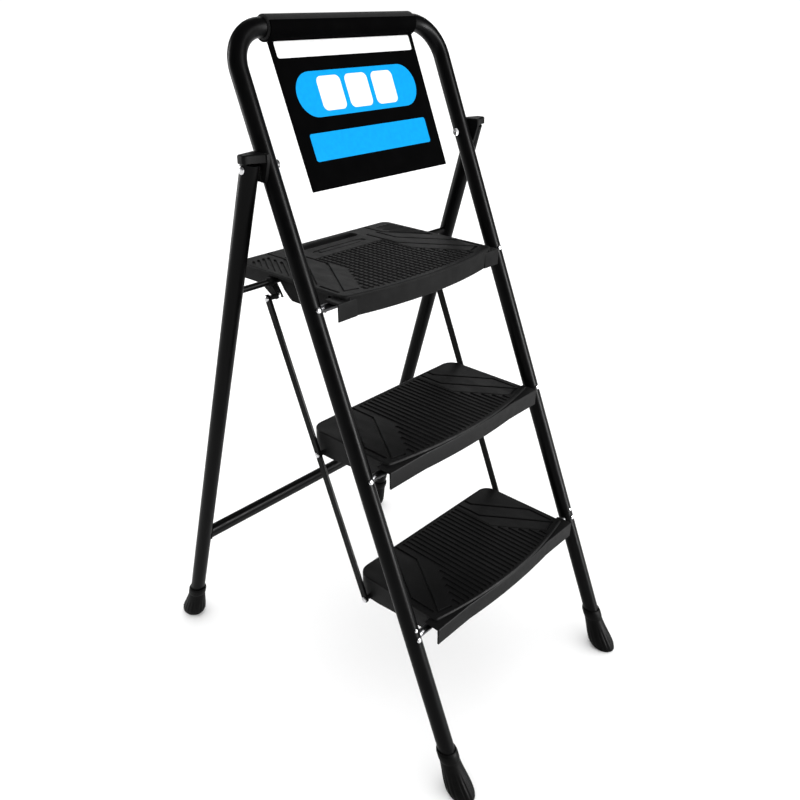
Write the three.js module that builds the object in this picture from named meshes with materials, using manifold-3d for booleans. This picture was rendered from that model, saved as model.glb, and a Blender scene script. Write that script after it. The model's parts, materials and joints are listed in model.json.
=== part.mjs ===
// Folding three-step ladder: a bent tube front frame with a foam grip, a rear frame hinged to it,
// a platform and two steps that tip up between the rails, and two flat bars that move them together.
// Millimetres, +Z up, the front (climbing side) faces -Y, X runs across the ladder.

import * as THREE from 'three';
import { mergeVertices } from 'three/addons/utils/BufferGeometryUtils.js';
import Module from 'manifold-3d';

const wasm = await Module();
wasm.setup();

// ---------------------------------------------------------------- driving dimensions

const GAP = 0.3;                                   // clearance between touching pieces
const SIDES = [['left', -1], ['right', 1]];

const tube = { radius: 13.5, wall: 1.2, facets: 20 };

const rail = {
  tilt: THREE.MathUtils.degToRad(22.5),            // front frame leans back from vertical
  halfAtFloor: 223.4,                              // half spacing of the rails at the floor
  narrowing: 0.0096,                               // half spacing lost for each mm along the rail
  length: 1204,                                    // floor to the axis of the top bar, along the rail
  bend: 58,                                        // bend radius at the two top corners
  start: 22,                                       // tube ends this far up inside its foot
};

const rear = {
  tilt: THREE.MathUtils.degToRad(17),
  halfAtFloor: 269.3,
  narrowing: 0.0246,                               // for each mm of height
  pivotHeight: 942,                                // hinge axis above the floor
  above: 9,                                        // leg runs this far past the hinge axis
  start: 22,
};

const step = { count: 3, firstRod: 259.5, pitch: 244, rodRadius: 6 };
const rearRod = { height: 753, radius: 5 };
const crossBar = { height: 227.5, tall: 27, deep: 20, wall: 1.5 };

const tread = {
  half: 181, back: 164.6, corner: 24, top: 18.5,
  earHalf: 191.4, earFront: 28, earBack: 2, bowHalf: 112, bow: 33,
  plate: 3.5, wall: 3, frontDrop: 33, rearDrop: 43,
  slopeStart: 20, slopeEnd: 118,                   // the skirt deepens between these two places
  ribDrop: 24, ribThick: 2.4, ribPlaces: [-100, 0, 100], crossRibs: [86],
  channelDeep: 12,
};
const platform = {
  ...tread,
  half: 176, back: 232, corner: 15, top: 18,
  bowHalf: 158, bow: 46, frontDrop: 34, rearDrop: 24, ribDrop: 22, crossRibs: [76, 190],
  channelDeep: 9, wallInset: 8, wallDrop: 40,
  slotHalf: 74, slotWide: 22, slotFromBack: 23,
};
const channel = { half: 13, wall: 2.5 };           // space round a tread's front rod
const OVERLAP = 0.5;                               // joined walls run into each other by this
const BEYOND = 1;                                  // cutting shapes run past a face by this
const WIDE = 300;                                  // half width of shapes that span the whole ladder

const link = { x: 191, wide: 12.5, thick: 5, pinY: 134.7, pinZ: -19, pinRadius: 3 };
const grip = { radius: 17, half: 152 };
const board = { half: 150, thick: 2, bottom: 971 };
// the bracket's heights are measured from the hinge axis
const hinge = {
  pin: 4, cheekBottom: -19.5, capTop: 20.5, capBottom: 8.5, roof: 4,
  front: -23, back: 13, tip: 36, tipFront: -7, tipBack: 0,
  play: 1.5,                                       // room round the rear leg's top as it turns
};
const foot = { height: 78, base: 20, sole: 17, neck: 16.6, lean: 5, lengthen: 1.16, boreFloor: 14 };

const colour = {
  steel: { color: 0x161617, roughness: 0.42, metalness: 0.5 },
  plastic: { color: 0x2b2c2d, roughness: 0.62, metalness: 0 },
  rubber: { color: 0x141414, roughness: 0.85, metalness: 0 },
  foam: { color: 0x1d1d1e, roughness: 0.95, metalness: 0 },
  zinc: { color: 0xb8babb, roughness: 0.35, metalness: 0.9 },
  board: { color: 0x08090a, roughness: 0.5, metalness: 0 },
};

// ---------------------------------------------------------------- places worked out from them

const railCos = Math.cos(rail.tilt);
const railSin = Math.sin(rail.tilt);
const pivotY = rear.pivotHeight * Math.tan(rail.tilt);
const rearFloorY = pivotY + rear.pivotHeight * Math.tan(rear.tilt);

const onRail = (x, along, behind = 0) => new THREE.Vector3(
  x,
  along * railSin + behind * railCos,
  along * railCos - behind * railSin,
);
const railHalf = (along) => rail.halfAtFloor - rail.narrowing * along;
const railHalfAtHeight = (z) => railHalf(z / railCos);
const rearHalf = (z) => rear.halfAtFloor - rear.narrowing * z;
const rearY = (z) => rearFloorY - z * Math.tan(rear.tilt);
const rodHeight = (index) => step.firstRod + step.pitch * index;
const rodY = (index) => rodHeight(index) * Math.tan(rail.tilt);

// where the rear rod lies, measured from the platform's own rod
const rearRodFromPlatform = {
  y: rearY(rearRod.height) - rodY(step.count - 1),
  z: rearRod.height - rodHeight(step.count - 1),
};

// ---------------------------------------------------------------- small helpers

const ladder = new THREE.Group();

function add(parent, name, geometry, finish) {
  const mesh = new THREE.Mesh(geometry, new THREE.MeshStandardMaterial(finish));
  mesh.name = name;
  parent.add(mesh);
  return mesh;
}

function solid(geometry) {
  const plain = geometry.index ? geometry.clone() : geometry;
  plain.deleteAttribute('normal');
  plain.deleteAttribute('uv');
  const merged = mergeVertices(plain, 1e-4);
  return new wasm.Manifold(new wasm.Mesh({
    numProp: 3,
    vertProperties: new Float32Array(merged.attributes.position.array),
    triVerts: new Uint32Array(merged.index.array),
  }));
}

function geometryOf(body) {
  const mesh = body.getMesh();
  const geometry = new THREE.BufferGeometry();
  geometry.setAttribute('position', new THREE.BufferAttribute(new Float32Array(mesh.vertProperties), 3));
  geometry.setIndex(new THREE.BufferAttribute(new Uint32Array(mesh.triVerts), 1));
  geometry.computeVertexNormals();
  return geometry;
}

const join = (bodies) => bodies.reduce((whole, body) => whole.add(body));
const cutAll = (body, tools) => tools.reduce((left, tool) => left.subtract(tool), body);

function box(x0, x1, y0, y1, z0, z1) {
  const geometry = new THREE.BoxGeometry(x1 - x0, y1 - y0, z1 - z0);
  geometry.translate((x0 + x1) / 2, (y0 + y1) / 2, (z0 + z1) / 2);
  return solid(geometry);
}

function rodAlongX(radius, x0, x1, y, z, facets = 12) {
  const geometry = new THREE.CylinderGeometry(radius, radius, x1 - x0, facets);
  geometry.rotateZ(Math.PI / 2);
  geometry.translate((x0 + x1) / 2, y, z);
  return geometry;
}

// a profile drawn in Y (first) and Z (second), pushed out along X from x0 to x1
const sideways = new THREE.Matrix4().makeBasis(
  new THREE.Vector3(0, 1, 0),
  new THREE.Vector3(0, 0, 1),
  new THREE.Vector3(1, 0, 0),
);

function sideProfile(shape, x0, x1, curveSegments = 8) {
  const geometry = new THREE.ExtrudeGeometry(shape, { depth: x1 - x0, bevelEnabled: false, curveSegments });
  geometry.translate(0, 0, x0);
  geometry.applyMatrix4(sideways);
  return geometry;
}

const polygon = (points) => new THREE.Shape(points.map(([u, v]) => new THREE.Vector2(u, v)));

function slab(shape, z0, z1, curveSegments = 8) {
  const geometry = new THREE.ExtrudeGeometry(shape, { depth: z1 - z0, bevelEnabled: false, curveSegments });
  geometry.translate(0, 0, z0);
  return solid(geometry);
}

// a curve through stations, read at even parameter steps so that a straight run stays one piece
class StationCurve extends THREE.Curve {
  constructor(stations) {
    super();
    this.stations = stations;
  }

  getUtoTmapping(u) {
    return u;
  }

  getPoint(t, target = new THREE.Vector3()) {
    const last = this.stations.length - 1;
    const place = Math.min(Math.max(t, 0), 1) * last;
    const index = Math.min(Math.floor(place + 1e-9), last - 1);
    return target.lerpVectors(this.stations[index], this.stations[index + 1], place - index);
  }

  getTangent(t, target = new THREE.Vector3()) {
    const last = this.stations.length - 1;
    const index = Math.round(t * last);
    const before = this.stations[Math.max(index - 1, 0)];
    const here = this.stations[index];
    const after = this.stations[Math.min(index + 1, last)];
    const into = here.clone().sub(before).normalize();
    const out = after.clone().sub(here).normalize();
    return target.copy(into.add(out)).normalize();
  }
}

function hollowTube(stations, radius, bore, facets) {
  const ring = new THREE.Shape().absarc(0, 0, radius, 0, 2 * Math.PI, false);
  ring.holes.push(new THREE.Path().absarc(0, 0, bore, 0, 2 * Math.PI, true));
  return new THREE.ExtrudeGeometry(ring, {
    steps: stations.length - 1,
    extrudePath: new StationCurve(stations),
    curveSegments: facets / 2,                     // each arc is given twice as many points as this
  });
}

// a dome-headed rivet on the axis +Z: the head stands on z = 0 and the shank goes down
function rivet(headRadius, headHeight, shankRadius, shankLength, facets = 8) {
  const profile = [
    [0, -shankLength], [shankRadius, -shankLength], [shankRadius, 0], [headRadius, 0],
    [headRadius * 0.92, headHeight * 0.5], [headRadius * 0.55, headHeight * 0.92], [0, headHeight],
  ];
  const geometry = new THREE.LatheGeometry(profile.map(([r, z]) => new THREE.Vector2(r, z)), facets);
  geometry.rotateX(Math.PI / 2);
  return geometry;
}

// ---------------------------------------------------------------- front frame

function frontFrameStations() {
  const stations = [];
  const topHalf = railHalf(rail.length - rail.bend) - rail.bend;
  const bendSteps = 7;
  stations.push([-railHalf(rail.start), rail.start]);
  for (let i = 0; i <= bendSteps; i += 1) {
    const turn = (i / bendSteps) * (Math.PI / 2);
    stations.push([-topHalf - rail.bend * Math.cos(turn), rail.length - rail.bend * (1 - Math.sin(turn))]);
  }
  const mirrored = stations.map(([x, along]) => [-x, along]).reverse();
  return [...stations, ...mirrored].map(([x, along]) => onRail(x, along));
}

const railRivets = [];
for (let index = 0; index < step.count; index += 1) {
  railRivets.push({ name: `rod_rivet_${index + 1}`, along: rodHeight(index) / railCos, head: 4.5, shank: 2.4 });
}
railRivets.push({ name: 'rail_screw', along: rodHeight(0) / railCos + 13, head: 3, shank: 1.6 });

function rivetOnRail(geometry, side, along) {
  const place = onRail(side * railHalf(along), along, -(tube.radius + GAP));
  geometry.rotateX(Math.PI / 2 - rail.tilt);
  geometry.translate(place.x, place.y, place.z);
  return geometry;
}

function frontFrame() {
  const body = solid(hollowTube(frontFrameStations(), tube.radius, tube.radius - tube.wall, tube.facets));
  const holes = [];
  for (const [, side] of SIDES) {
    for (let index = 0; index < step.count; index += 1) {
      const inner = side * (railHalfAtHeight(rodHeight(index)) - tube.radius - 6);
      const middle = side * railHalfAtHeight(rodHeight(index));
      holes.push(solid(rodAlongX(
        step.rodRadius + GAP, Math.min(inner, middle), Math.max(inner, middle), rodY(index), rodHeight(index),
      )));
    }
    for (const { along, shank } of railRivets) {
      holes.push(solid(rivetOnRail(rivet(shank + GAP, 0.1, shank + GAP, 7), side, along)));
    }
    const x = side * railHalfAtHeight(rear.pivotHeight);
    holes.push(solid(rodAlongX(hinge.pin + GAP, x - 20, x + 20, pivotY, rear.pivotHeight)));
  }
  return geometryOf(cutAll(body, holes));
}

add(ladder, 'front_frame', frontFrame(), colour.steel);

const rivetReach = tube.radius - step.rodRadius - 2 * GAP;
for (const [sideName, side] of SIDES) {
  for (const { name, along, head, shank } of railRivets) {
    const geometry = rivetOnRail(rivet(head, head * 0.55, shank, rivetReach), side, along);
    add(ladder, `${name}_${sideName}`, geometry, colour.zinc);
  }
}

for (let index = 0; index < step.count; index += 1) {
  const half = railHalfAtHeight(rodHeight(index)) + 5;
  const name = index === step.count - 1 ? 'platform_rod' : `step_rod_${index + 1}`;
  add(ladder, name, rodAlongX(step.rodRadius, -half, half, rodY(index), rodHeight(index)), colour.zinc);
}

// foam sleeve on the top bar
const topBar = onRail(0, rail.length);
const sleeve = [
  [tube.radius + GAP, -grip.half], [grip.radius, -grip.half],
  [grip.radius, grip.half], [tube.radius + GAP, grip.half], [tube.radius + GAP, -grip.half],
];
const sleeveGeometry = new THREE.LatheGeometry(sleeve.map(([r, z]) => new THREE.Vector2(r, z)), 20);
sleeveGeometry.rotateZ(Math.PI / 2);
sleeveGeometry.translate(0, topBar.y, topBar.z);
add(ladder, 'handle_grip', sleeveGeometry, colour.foam);

// flat board that snaps up around the lower half of the sleeve and hangs in the plane of the rails
function infoBoard() {
  const inner = grip.radius + GAP;
  const outer = inner + board.thick;
  const reach = THREE.MathUtils.degToRad(98);
  const down = -Math.PI / 2;
  const clip = new THREE.Shape();
  clip.absarc(0, 0, outer, down - reach, down + reach, false);
  clip.absarc(0, 0, inner, down + reach, down - reach, true);
  const hoop = solid(sideProfile(clip, -board.half, board.half, 12));
  const panel = box(-board.half, board.half, -board.thick / 2, board.thick / 2,
    board.bottom - rail.length, -inner - board.thick / 2);
  const geometry = geometryOf(hoop.add(panel));
  geometry.rotateX(-rail.tilt);
  geometry.translate(0, topBar.y, topBar.z);
  return geometry;
}
add(ladder, 'info_board', infoBoard(), colour.board);

// ---------------------------------------------------------------- feet

// a sleeve that swells to a rounded sole; it leans with its tube and is longer fore and aft
function rubberFoot(leanX, leanY, outward) {
  const bore = tube.radius + GAP;
  const profile = [
    [0, 0], [foot.sole, 0], [foot.base, 3], [foot.base + 1.6, 10], [foot.base + 1, 20], [foot.base - 2, 38],
    [foot.neck, 60], [foot.neck, foot.height], [bore, foot.height], [bore, foot.boreFloor], [0, foot.boreFloor],
  ];
  const geometry = new THREE.LatheGeometry(profile.map(([r, z]) => new THREE.Vector2(r, z)), 18);
  geometry.rotateX(Math.PI / 2);
  const position = geometry.attributes.position;
  const stretch = 1 / Math.cos(Math.atan(leanY));
  for (let i = 0; i < position.count; i += 1) {
    const x = position.getX(i);
    let y = position.getY(i) * stretch;
    const z = position.getZ(i);
    const swell = Math.max(0, 1 - z / foot.height) ** 2;
    if (Math.hypot(x, position.getY(i)) > bore + 0.1 || z < foot.boreFloor - 1) {
      y = y * (1 + (foot.lengthen - 1) * swell) + outward * foot.lean * swell;
    }
    position.setXYZ(i, x + leanX * z, y + leanY * z, z);
  }
  return geometry;
}

for (const [sideName, side] of SIDES) {
  const front = rubberFoot(-side * rail.narrowing / railCos, Math.tan(rail.tilt), -1);
  const back = rubberFoot(-side * rear.narrowing, -Math.tan(rear.tilt), 1);
  const frontFoot = add(ladder, `front_foot_${sideName}`, front, colour.rubber);
  const rearFoot = add(ladder, `rear_foot_${sideName}`, back, colour.rubber);
  frontFoot.position.set(side * rail.halfAtFloor, 0, 0);
  rearFoot.position.set(side * rear.halfAtFloor, rearFloorY, 0);
}

// ---------------------------------------------------------------- rear frame

const rearLegPoint = (side, z) => new THREE.Vector3(side * rearHalf(z), rearY(z), z);

function rearLegStations(side) {
  const along = Math.cos(rear.tilt);
  return [rearLegPoint(side, rear.start * along), rearLegPoint(side, rear.pivotHeight + rear.above * along)];
}

function rearLeg(side) {
  const body = solid(hollowTube(rearLegStations(side), tube.radius, tube.radius - tube.wall, tube.facets));
  const x = side * rearHalf(rear.pivotHeight);
  const ends = [side * (rearHalf(rearRod.height) - 20), side * rearHalf(rearRod.height)];
  const bore = rearRod.radius + GAP;
  return geometryOf(cutAll(body, [
    solid(rodAlongX(hinge.pin + GAP, x - 20, x + 20, pivotY, rear.pivotHeight)),
    solid(rodAlongX(bore, Math.min(...ends), Math.max(...ends), rearY(rearRod.height), rearRod.height)),
  ]));
}

function oval(tall, deep) {
  const half = (tall - deep) / 2;
  const shape = new THREE.Shape();
  shape.absarc(0, half, deep / 2, 0, Math.PI, false);
  shape.absarc(0, -half, deep / 2, Math.PI, 2 * Math.PI, false);
  return shape;
}

function lowerCrossBar() {
  const half = rearHalf(crossBar.height);
  const outer = solid(sideProfile(oval(crossBar.tall, crossBar.deep), -half, half, 8));
  const inner = solid(sideProfile(
    oval(crossBar.tall - 2 * crossBar.wall, crossBar.deep - 2 * crossBar.wall), -half - 1, half + 1, 8,
  ));
  const bar = geometryOf(outer.subtract(inner));
  bar.rotateX(rear.tilt);
  bar.translate(0, rearY(crossBar.height), crossBar.height);
  const legs = SIDES.map(([, side]) => {
    const [low, high] = rearLegStations(side);
    const leg = new THREE.CylinderGeometry(tube.radius + GAP, tube.radius + GAP, low.distanceTo(high), 24);
    leg.applyQuaternion(new THREE.Quaternion().setFromUnitVectors(
      new THREE.Vector3(0, 1, 0), high.clone().sub(low).normalize(),
    ));
    leg.translate(...low.clone().add(high).multiplyScalar(0.5).toArray());
    return solid(leg);
  });
  const trimmed = cutAll(solid(bar), legs);
  const between = box(-half + 8, half - 8, -1000, 2000, 0, 1000);
  return geometryOf(trimmed.intersect(between));
}

for (const [sideName, side] of SIDES) {
  add(ladder, `rear_leg_${sideName}`, rearLeg(side), colour.steel);
}
add(ladder, 'rear_cross_bar', lowerCrossBar(), colour.steel);
const rearRodHalf = rearHalf(rearRod.height) + 5;
add(ladder, 'rear_rod',
  rodAlongX(rearRod.radius, -rearRodHalf, rearRodHalf, rearY(rearRod.height), rearRod.height), colour.zinc);

// ---------------------------------------------------------------- hinge brackets

const cheekX = railHalfAtHeight(rear.pivotHeight) + tube.radius + 2 * GAP;
const legX = rearHalf(rear.pivotHeight);
const cheekOuter = legX - tube.radius - GAP;

// a cheek on the rail carries a cap that narrows outwards and covers the top of the rear leg
function hingeBracket(side) {
  const { front, back, capTop, capBottom, cheekBottom, tip, tipFront, tipBack } = hinge;
  const cheek = polygon([
    [front, capTop - 1], [front, capBottom], [-14, cheekBottom], [11, cheekBottom],
    [back, capBottom], [back, capTop - 1],
  ]);
  const cap = new THREE.Shape();
  cap.moveTo(cheekX, front);
  cap.lineTo(cheekX + tip * 0.8, (front + 4 * tipFront) / 5 - 3);
  cap.quadraticCurveTo(cheekX + tip, tipFront - 3, cheekX + tip, tipFront);
  cap.lineTo(cheekX + tip, tipBack);
  cap.quadraticCurveTo(cheekX + tip, tipBack + 4, cheekX + tip * 0.8, (back + 4 * tipBack) / 5 + 4);
  cap.lineTo(cheekX, back);
  const pocket = new THREE.CylinderGeometry(tube.radius + hinge.play, tube.radius + hinge.play, 40, 24);
  pocket.rotateX(Math.PI / 2);
  pocket.translate(legX, 0, capTop - hinge.roof - 20);
  const body = join([
    solid(sideProfile(cheek, cheekX, cheekOuter)),
    slab(cap, capBottom, capTop),
  ]);
  const geometry = geometryOf(cutAll(body, [
    solid(pocket),
    solid(rodAlongX(hinge.pin + GAP, cheekX - 5, cheekOuter + 5, 0, 0)),
  ]));
  return side > 0 ? geometry : mirrored(geometry);
}

function mirrored(geometry) {
  geometry.scale(-1, 1, 1);
  const index = geometry.index.array;
  for (let i = 0; i < index.length; i += 3) {
    [index[i], index[i + 1]] = [index[i + 1], index[i]];
  }
  geometry.computeVertexNormals();
  return geometry;
}

// the hinge rivet runs from the inside of the rail to the outside of the rear leg, with a head at each end
function hingePin() {
  const inside = railHalfAtHeight(rear.pivotHeight) - tube.radius - GAP;
  const outside = legX + tube.radius + GAP;
  const profile = [
    [0, inside - 2.6], [3, inside - 2.4], [6, inside - 0.8], [6, inside], [hinge.pin, inside],
    [hinge.pin, outside], [6, outside], [6, outside + 0.8], [3, outside + 2.4], [0, outside + 2.6],
  ];
  const geometry = new THREE.LatheGeometry(profile.map(([r, x]) => new THREE.Vector2(r, x)), 12);
  geometry.rotateZ(-Math.PI / 2);
  return geometry;
}

for (const [sideName, side] of SIDES) {
  const at = new THREE.Vector3(0, pivotY, rear.pivotHeight);
  add(ladder, `hinge_bracket_${sideName}`, hingeBracket(side), colour.plastic).position.copy(at);
  const pin = add(ladder, `hinge_pin_${sideName}`, hingePin(), colour.zinc);
  pin.position.copy(at);
  pin.rotation.y = side > 0 ? 0 : Math.PI;
}

// ---------------------------------------------------------------- platform and steps
// Drawn about their own rod: x across, y back from the rod axis, z up from it.

function treadOutline(size, inset = 0) {
  const half = size.half - inset;
  const back = size.back - inset;
  const corner = size.corner - inset;
  const earHalf = size.earHalf - inset;
  const earFront = size.earFront - inset;
  const earBack = size.earBack - inset;
  const sagitta = size.bow - size.earFront;
  const bowRadius = (size.bowHalf ** 2 + sagitta ** 2) / (2 * sagitta);
  const bowCentre = bowRadius - size.bow;
  const radius = bowRadius - inset;
  const swing = Math.acos((bowCentre + earFront) / radius);
  const shape = new THREE.Shape();
  shape.moveTo(half, earBack);
  shape.lineTo(half, back - corner);
  shape.absarc(half - corner, back - corner, corner, 0, Math.PI / 2, false);
  shape.absarc(-half + corner, back - corner, corner, Math.PI / 2, Math.PI, false);
  shape.lineTo(-half, earBack);
  shape.lineTo(-earHalf, earBack);
  shape.lineTo(-earHalf, -earFront);
  shape.absarc(0, bowCentre, radius, -Math.PI / 2 - swing, -Math.PI / 2 + swing, false);
  shape.lineTo(earHalf, -earFront);
  shape.lineTo(earHalf, earBack);
  return shape;
}

// passage for the front rod, open downwards
function rodPassage(size) {
  const width = step.rodRadius + 2 * GAP;
  const slot = new THREE.Shape();
  slot.moveTo(width, -size.rearDrop);
  slot.lineTo(width, 0);
  slot.absarc(0, 0, width, 0, Math.PI, false);
  slot.lineTo(-width, -size.rearDrop);
  return solid(sideProfile(slot, -size.earHalf - BEYOND, size.earHalf + BEYOND));
}

function channelWalls(size) {
  const top = size.top - size.plate + OVERLAP;
  const reach = size.half - size.wall + OVERLAP;
  return [-channel.half - channel.wall, channel.half].map((y) => (
    box(-reach, reach, y, y + channel.wall, -size.channelDeep, top)
  ));
}

function openEars(size) {
  const front = -size.earFront + size.wall;
  const back = size.earBack + BEYOND;
  return SIDES.map(([, side]) => {
    const inner = side * (size.half - size.wall - BEYOND);
    const outer = side * (size.earHalf + BEYOND);
    const [x0, x1] = [Math.min(inner, outer), Math.max(inner, outer)];
    return box(x0, x1, front, back, -size.rearDrop, size.top - size.plate);
  });
}

function pinHoles(size) {
  const radius = link.pinRadius + GAP;
  return SIDES.map(([, side]) => {
    const inner = side * (size.half - 12);
    const outer = side * (size.half + 6);
    return solid(rodAlongX(radius, Math.min(inner, outer), Math.max(inner, outer), link.pinY, link.pinZ));
  });
}

// the deck with a wall hanging round its edge
function skirtRing(size, drop) {
  const bottom = size.top - drop;
  const hollow = slab(treadOutline(size, size.wall), bottom - BEYOND, size.top - size.plate);
  return slab(treadOutline(size), bottom, size.top).subtract(hollow);
}

function underRibs(size, alongEnd, crossEnd) {
  const half = size.ribThick / 2;
  const low = size.top - size.ribDrop;
  const high = size.top - size.plate + OVERLAP;
  const front = -size.earFront + BEYOND;
  const along = size.ribPlaces.map((x) => box(x - half, x + half, front, alongEnd, low, high));
  const cross = size.crossRibs.map((y) => box(-crossEnd, crossEnd, y - half, y + half, low, high));
  return [...along, ...cross];
}

function stepTread() {
  const size = tread;
  const bottom = size.top - size.rearDrop;
  const frontBottom = size.top - size.frontDrop;
  const below = bottom - 5;
  const trim = polygon([
    [-60, below], [-60, frontBottom], [size.slopeStart, frontBottom], [size.slopeEnd, bottom],
    [size.slopeEnd, below],
  ]);
  const body = join([
    skirtRing(size, size.rearDrop),
    ...underRibs(size, size.back - BEYOND, size.half - BEYOND),
    ...channelWalls(size),
  ]);
  return geometryOf(cutAll(body, [
    solid(sideProfile(trim, -WIDE, WIDE)),
    rodPassage(size),
    ...openEars(size),
    ...pinHoles(size),
  ]));
}

// the way the rear rod leaves the platform as the ladder closes: down and forward
function rearRodWay() {
  const { y, z } = rearRodFromPlatform;
  const seat = rearRod.radius + GAP;
  const clear = rearRod.radius + 1.6;
  const shape = new THREE.Shape();
  shape.moveTo(y + seat, z);
  shape.absarc(y, z, seat, 0, Math.PI * 0.82, false);
  shape.lineTo(y - 10 - clear, z - 13);
  shape.lineTo(y - 22 - clear, z - 24);
  shape.lineTo(y - 48 - clear, z - 39);
  shape.lineTo(y - 48, z - 58);
  shape.lineTo(y - 15, z - 34);
  shape.lineTo(y - 5, z - 18.4);
  shape.lineTo(y + 3.2, z - 6.4);
  return solid(sideProfile(shape, -WIDE, WIDE));
}

// a deep side wall carrying the link pin, and a lug at the back that hooks over the rear rod
function platformSides(size, lugFront) {
  const under = size.top - size.plate + OVERLAP;
  const wallBottom = size.top - size.wallDrop;
  const front = -size.earFront + BEYOND;
  const wallX = size.half - size.wallInset - size.wall;
  const wall = polygon([
    [front, under], [front, -size.channelDeep], [22, -size.channelDeep], [28, wallBottom],
    [118, wallBottom], [160, -20], [160, under],
  ]);
  const lug = polygon([
    [lugFront, under], [lugFront, 2], [130.5, -17], [130.5, -22], [134, -24.5], [138.5, -23.5],
    [170, size.top - size.rearDrop + OVERLAP], [170, under],
  ]);
  const plates = [[wall, wallX], [lug, size.half - size.wall]];
  return SIDES.flatMap(([, side]) => plates.map(([shape, x]) => {
    const near = side > 0 ? x : -x - size.wall;
    return solid(sideProfile(shape, near, near + size.wall));
  }));
}

function handSlot(size) {
  const radius = size.slotWide / 2;
  const y = size.back - size.slotFromBack;
  const slot = new THREE.Shape();
  slot.absarc(size.slotHalf - radius, y, radius, -Math.PI / 2, Math.PI / 2, false);
  slot.absarc(-size.slotHalf + radius, y, radius, Math.PI / 2, (3 * Math.PI) / 2, false);
  return slab(slot, -60, 60);
}

function platformTread() {
  const size = platform;
  const lugFront = rearRodFromPlatform.y + rearRod.radius + size.wall;
  const wallX = size.half - size.wallInset - size.wall;
  const rearPart = box(-WIDE, WIDE, lugFront, 400, -60, 60);
  const frontPart = box(-WIDE, WIDE, -80, size.earBack, -60, 60);
  const body = join([
    skirtRing(size, 6),
    skirtRing(size, size.rearDrop).intersect(rearPart),
    skirtRing(size, size.frontDrop).intersect(frontPart),
    ...channelWalls(size),
    ...platformSides(size, lugFront),
    ...underRibs(size, size.back - 40, wallX + BEYOND),
  ]);
  return geometryOf(cutAll(body, [
    rodPassage(size),
    rearRodWay(),
    handSlot(size),
    ...openEars(size),
    ...pinHoles(size),
  ]));
}

// saddle pressed up under the front rod between the two channel walls
function rodClip(size) {
  const side = channel.half - GAP;
  const bore = step.rodRadius + GAP;
  const block = box(-10, 10, -side, side, -size.channelDeep, step.rodRadius - 2);
  return geometryOf(block
    .subtract(solid(rodAlongX(bore, -12, 12, 0, 0)))
    .subtract(box(-12, 12, -bore, bore, 0, 20)));
}

function linkPin(size) {
  const inner = size.half - size.wall - GAP;
  const outer = link.x + link.thick / 2 + GAP;
  const profile = [
    [0, inner - 2.2], [4.8, inner - 2.2], [4.8, inner], [link.pinRadius, inner], [link.pinRadius, outer],
    [4.8, outer], [4.6, outer + 1.4], [2.6, outer + 2.4], [0, outer + 2.4],
  ];
  const geometry = new THREE.LatheGeometry(profile.map(([r, x]) => new THREE.Vector2(r, x)), 10);
  geometry.rotateZ(-Math.PI / 2);
  return geometry;
}

for (let index = 0; index < step.count; index += 1) {
  const isPlatform = index === step.count - 1;
  const size = isPlatform ? platform : tread;
  const name = isPlatform ? 'platform' : `step_${index + 1}`;
  const group = new THREE.Group();
  group.position.set(0, rodY(index), rodHeight(index));
  ladder.add(group);
  add(group, isPlatform ? 'platform_tread' : `step_tread_${index + 1}`,
    isPlatform ? platformTread() : stepTread(), colour.plastic);
  for (const [sideName, side] of SIDES) {
    add(group, `${name}_rod_clip_${sideName}`, rodClip(size), colour.plastic).position.x = side * 148;
    const pin = add(group, `${name}_link_pin_${sideName}`, linkPin(size), colour.zinc);
    pin.position.set(0, link.pinY, link.pinZ);
    pin.rotation.y = side > 0 ? 0 : Math.PI;
  }
}

// ---------------------------------------------------------------- link bars

function linkBar() {
  const low = rodHeight(0) / railCos;
  const high = rodHeight(step.count - 1) / railCos;
  const length = high - low;
  const shape = new THREE.Shape();
  shape.absarc(0, 0, link.wide / 2, Math.PI, 2 * Math.PI, false);
  shape.absarc(0, length, link.wide / 2, 0, Math.PI, false);
  for (let index = 0; index < step.count; index += 1) {
    const along = rodHeight(index) / railCos - low;
    shape.holes.push(new THREE.Path().absarc(0, along, link.pinRadius + GAP, 0, 2 * Math.PI, true));
  }
  const geometry = sideProfile(shape, -link.thick / 2, link.thick / 2, 8);
  geometry.rotateX(-rail.tilt);
  return geometry;
}

for (const [sideName, side] of SIDES) {
  const bar = add(ladder, `link_bar_${sideName}`, linkBar(), colour.steel);
  bar.position.set(side * link.x, rodY(0) + link.pinY, rodHeight(0) + link.pinZ);
}

// ---------------------------------------------------------------- origin under the middle of the ladder

const extent = new THREE.Box3().setFromObject(ladder);
ladder.position.y = -(extent.min.y + extent.max.y) / 2;

export default ladder;
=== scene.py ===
"""Looks for a folding three-step ladder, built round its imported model.

Metres, +Z up, the climbing side faces -Y and X runs across the ladder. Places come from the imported
model's joints and boxes. The sizes below are those of the bent, moulded and printed surfaces.
"""

import json
from functools import partial
from math import acos, atan2, cos, degrees, pi, radians, sin, sqrt
from types import SimpleNamespace as Sizes

import bpy
from mathutils import Matrix, Vector


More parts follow.
